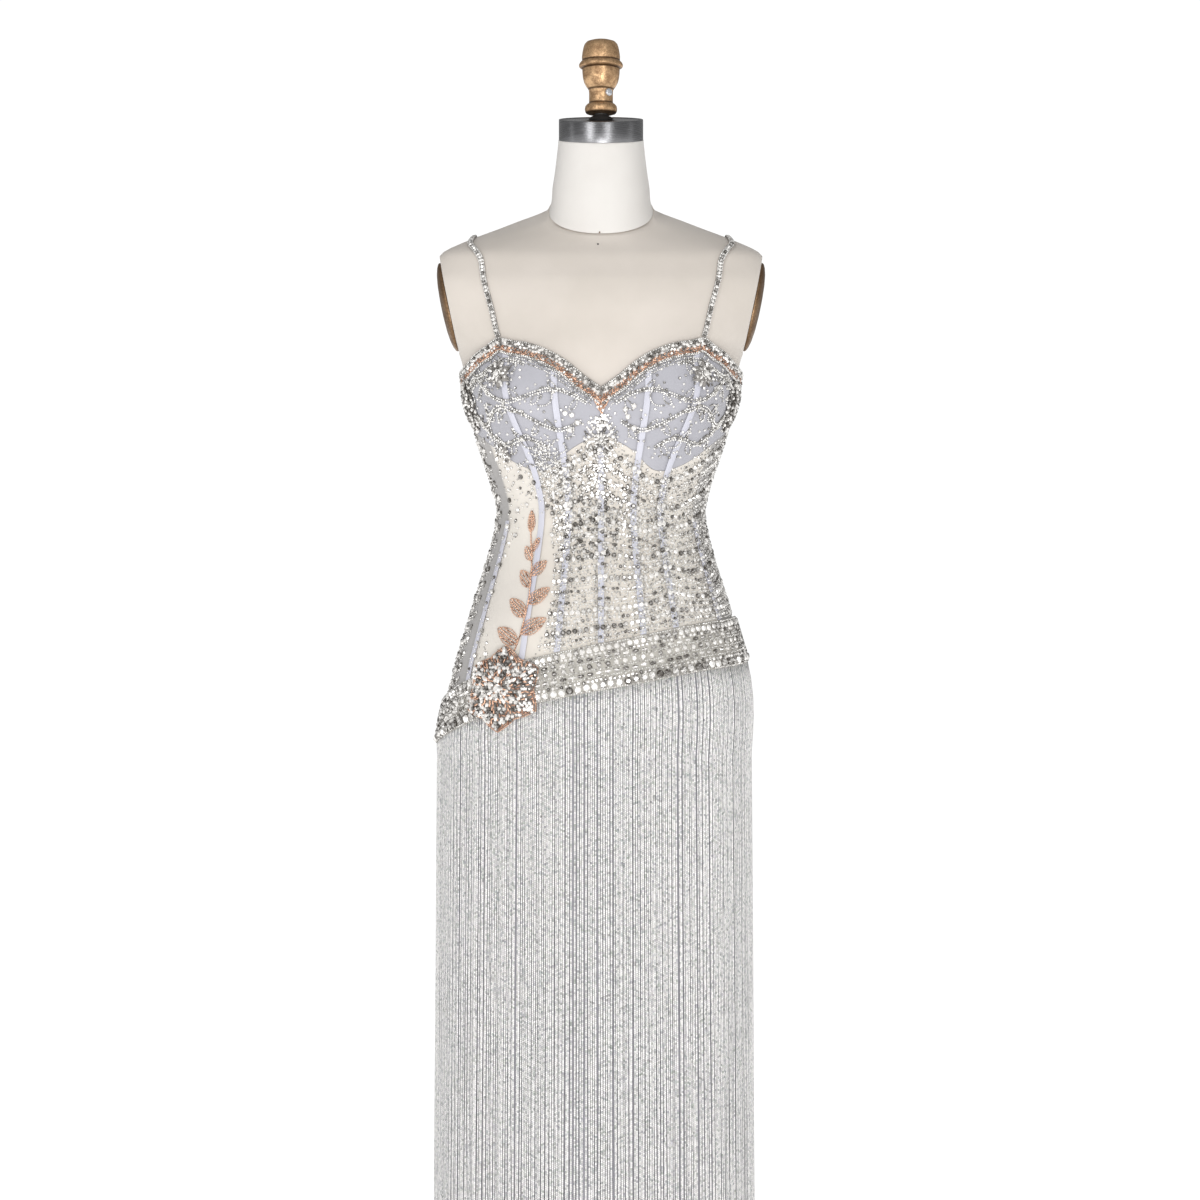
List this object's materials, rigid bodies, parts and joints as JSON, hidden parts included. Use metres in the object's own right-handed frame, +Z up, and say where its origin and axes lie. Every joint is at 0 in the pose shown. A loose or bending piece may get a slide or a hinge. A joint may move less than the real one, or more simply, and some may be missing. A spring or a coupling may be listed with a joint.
{
  "type": "beaded evening gown on a limbless dress form",
  "caption": "Long beaded evening gown with thin straps, sweetheart cups, slanted hip band and straight fringe skirt, worn by a limbless dress form on a round stand.",
  "frame": {"origin": "centre of the stand's underside, on the floor", "axes": "+Z up along the stand, -Y towards the gown's front, +X to the viewer's right"},
  "size_m": [0.4008, 0.38, 1.624],
  "materials": {
    "linen": "cream linen cover, matt",
    "neck_linen": "whiter linen cover, matt",
    "steel": "dark brushed steel",
    "zinc": "zinc-plated",
    "gold": "antique gold, mottled",
    "bronze": "brown bronze, satin",
    "black": "black satin paint",
    "lining": "lavender-grey lining under mesh",
    "mesh": "fine nude mesh",
    "side_mesh": "fine grey mesh",
    "tape": "satin boning tape",
    "stones": "clear foiled stones with silver and rose-gold beads",
    "skirt": "lavender-grey satin lining",
    "fringe": "silver-lined bead strands"
  },
  "bodies": {
    "root": {"form_torso": "linen", "form_neck": "neck_linen", "form_cap": "steel", "finial": "gold", "finial_post": "steel", "finial_screw": "zinc", "arm_plate_left": "bronze", "arm_plate_right": "bronze", "stand_pole": "steel", "stand_base": "black", "cup_left": "lining", "cup_right": "lining", "front_centre_left": "mesh", "front_centre_right": "mesh", "front_mid_left": "mesh", "front_mid_right": "mesh", "front_side_left": "side_mesh", "front_side_right": "side_mesh", "back_side_left": "side_mesh", "back_side_right": "side_mesh", "back_centre_left": "side_mesh", "back_centre_right": "side_mesh", "bone_centre": "tape", "bone_inner_left": "tape", "bone_inner_right": "tape", "bone_outer_left": "tape", "bone_outer_right": "tape", "bone_hip_left": "tape", "bone_hip_right": "tape", "neckline_trim_left": "stones", "neckline_trim_right": "stones", "strap_left": "stones", "strap_right": "stones", "rosette_left": "stones", "rosette_right": "stones", "rosette_low": "stones", "side_cluster_left": "stones", "side_cluster_right": "stones", "hip_band_front": "stones", "hip_band_back": "stones", "brooch": "stones", "skirt_lining_front": "skirt", "skirt_lining_back": "skirt", "fringe": "fringe"}
  },
  "joints": []
}
